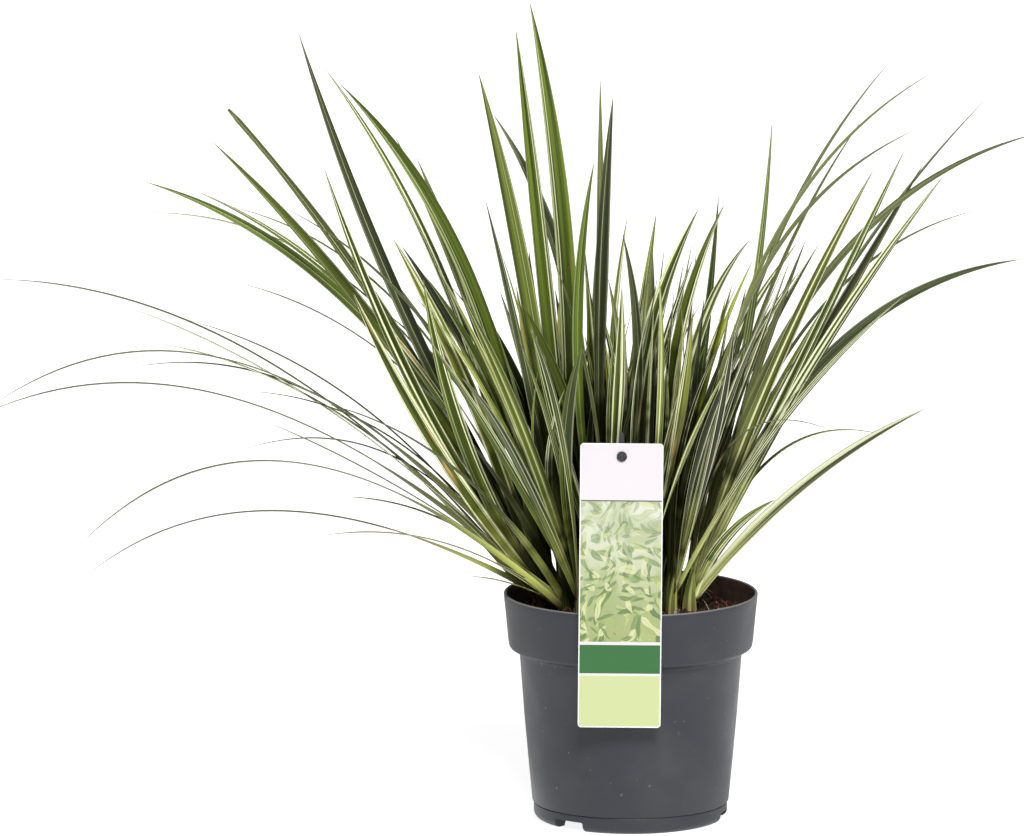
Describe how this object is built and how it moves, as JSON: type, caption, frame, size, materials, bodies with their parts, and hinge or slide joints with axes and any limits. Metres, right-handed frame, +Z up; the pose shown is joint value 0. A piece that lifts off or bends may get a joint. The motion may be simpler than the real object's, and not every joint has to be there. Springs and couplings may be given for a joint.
{
  "type": "potted variegated sweet flag",
  "caption": "Tussock of narrow, striped, sword-shaped grassy leaves arching out of a round tapered nursery pot, with a plain plant label pegged to a stake.",
  "frame": {"origin": "centre of the flat disc under the pot, on the surface that the pot stands on", "axes": "+Z up along the pot, -Y towards the side that the label faces, +X to the right as that side is looked at"},
  "size_m": [0.6272, 0.3561, 0.49],
  "materials": {
    "pot": "moulded satin",
    "soil": "moist fibrous peat",
    "card": "printed film",
    "stake": "moulded satin",
    "leaf": "satin living leaf"
  },
  "bodies": {
    "root": {"pot": "pot", "soil": "soil", "tag_card": "card", "tag_stake": "stake", "shoot_01": "leaf", "shoot_02": "leaf", "shoot_03": "leaf", "shoot_04": "leaf", "shoot_05": "leaf", "shoot_06": "leaf", "shoot_07": "leaf", "shoot_08": "leaf", "shoot_09": "leaf", "shoot_10": "leaf", "shoot_11": "leaf", "shoot_12": "leaf", "shoot_13": "leaf", "shoot_14": "leaf", "shoot_15": "leaf", "shoot_16": "leaf", "shoot_17": "leaf", "shoot_18": "leaf", "shoot_19": "leaf", "shoot_20": "leaf", "shoot_21": "leaf", "shoot_22": "leaf", "shoot_23": "leaf", "shoot_24": "leaf", "shoot_25": "leaf", "shoot_26": "leaf", "shoot_27": "leaf", "shoot_28": "leaf", "shoot_29": "leaf", "shoot_30": "leaf", "shoot_31": "leaf", "shoot_32": "leaf"}
  },
  "joints": []
}
